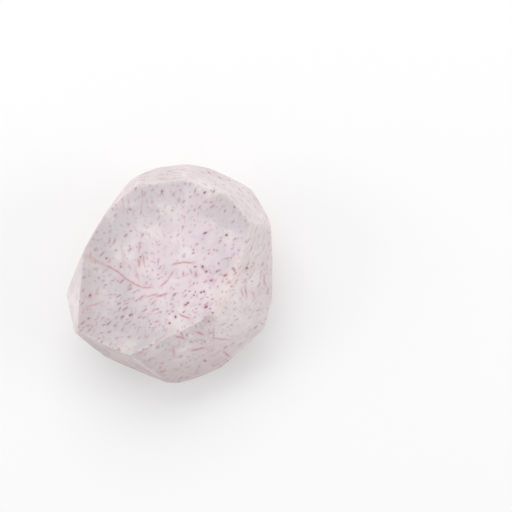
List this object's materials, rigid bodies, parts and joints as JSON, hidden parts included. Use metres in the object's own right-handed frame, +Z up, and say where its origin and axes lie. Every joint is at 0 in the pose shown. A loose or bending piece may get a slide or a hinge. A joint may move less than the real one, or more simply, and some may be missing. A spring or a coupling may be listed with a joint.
{
  "type": "peeled taro half",
  "caption": "Peeled taro corm cut in half, a knife-faceted pale lilac piece of root vegetable with a flat cut face, for kitchens, markets and food scenes.",
  "frame": {"origin": "on the surface the piece lies on, under the middle of its outline", "axes": "+Z up, out of the flat cut face; +Y to the top of the cut face; +X to its right, seen from above"},
  "size_m": [0.1052, 0.1118, 0.042],
  "materials": {
    "taro_flesh": "damp raw vegetable flesh, satin, pale lilac grey with fine purple flecks"
  },
  "bodies": {
    "root": {"taro_half": "taro_flesh"}
  },
  "joints": []
}
